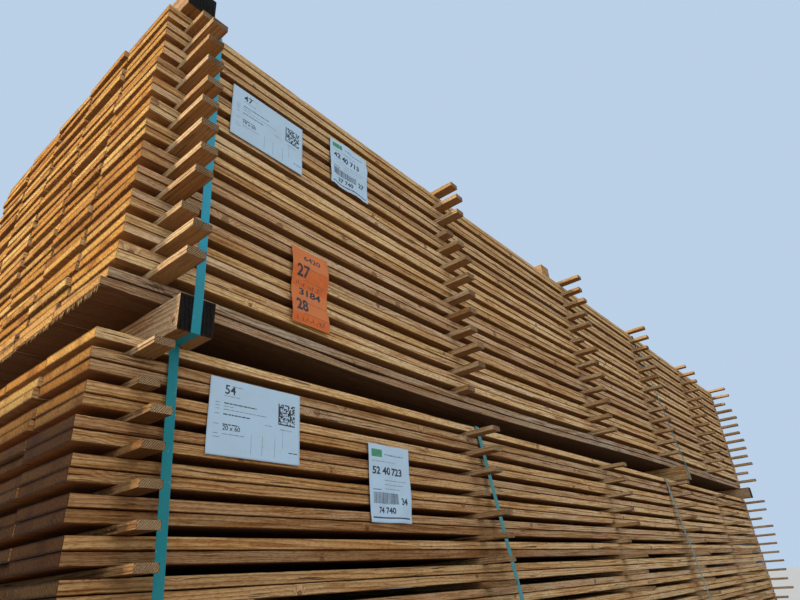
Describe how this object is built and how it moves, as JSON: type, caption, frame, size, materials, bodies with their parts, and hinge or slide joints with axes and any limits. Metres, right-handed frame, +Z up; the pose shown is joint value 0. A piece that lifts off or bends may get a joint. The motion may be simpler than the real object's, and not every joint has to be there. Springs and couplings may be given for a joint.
{
  "type": "stack of lumber",
  "caption": "Sawn boards stacked in strapped bundles, with laths between the courses, square timber bearers below, between and on top, and paper labels on one long side.",
  "frame": {"origin": "middle of the whole outline, at the level of the ground", "axes": "+X along the boards, from the near end to the far end; +Y across the bundles, from the labelled side to the back; +Z up"},
  "size_m": [5.04, 1.3067, 1.7505],
  "materials": {
    "sawn_boards": "rough sawn, matte",
    "stickers": "rough sawn, matte",
    "bearers": "rough sawn, matte",
    "strapping": "semi-gloss",
    "label_paper": "matte, printed",
    "ticket_paper": "matte, printed"
  },
  "bodies": {
    "root": {"base_bearer_far": "bearers", "base_bearer_near": "bearers", "base_bearer_second": "bearers", "base_bearer_third": "bearers", "label_lower_square": "label_paper", "label_lower_wide": "label_paper", "label_upper_square": "label_paper", "label_upper_wide": "label_paper", "lower_course_01": "sawn_boards", "lower_course_02": "sawn_boards", "lower_course_03": "sawn_boards", "lower_course_04": "sawn_boards", "lower_course_05": "sawn_boards", "lower_course_06": "sawn_boards", "lower_course_07": "sawn_boards", "lower_course_08": "sawn_boards", "lower_course_09": "sawn_boards", "lower_course_10": "sawn_boards", "lower_course_11": "sawn_boards", "lower_course_12": "sawn_boards", "lower_course_top": "sawn_boards", "lower_stickers_1": "stickers", "lower_stickers_2": "stickers", "lower_stickers_3": "stickers", "lower_stickers_4": "stickers", "lower_stickers_5": "stickers", "lower_stickers_6": "stickers", "lower_strap_near": "strapping", "lower_strap_second": "strapping", "lower_strap_third": "strapping", "middle_bearer_far": "bearers", "middle_bearer_near": "bearers", "middle_bearer_second": "bearers", "ticket_orange": "ticket_paper", "top_bearer_near": "bearers", "top_bearer_second": "bearers", "upper_course_01": "sawn_boards", "upper_course_02": "sawn_boards", "upper_course_03": "sawn_boards", "upper_course_04": "sawn_boards", "upper_course_05": "sawn_boards", "upper_course_06": "sawn_boards", "upper_course_07": "sawn_boards", "upper_course_08": "sawn_boards", "upper_course_09": "sawn_boards", "upper_course_10": "sawn_boards", "upper_course_11": "sawn_boards", "upper_course_12": "sawn_boards", "upper_course_13": "sawn_boards", "upper_stickers_1": "stickers", "upper_stickers_2": "stickers", "upper_stickers_3": "stickers", "upper_stickers_4": "stickers", "upper_stickers_5": "stickers", "upper_stickers_6": "stickers", "upper_strap_middle": "strapping", "upper_strap_near": "strapping"}
  },
  "joints": []
}
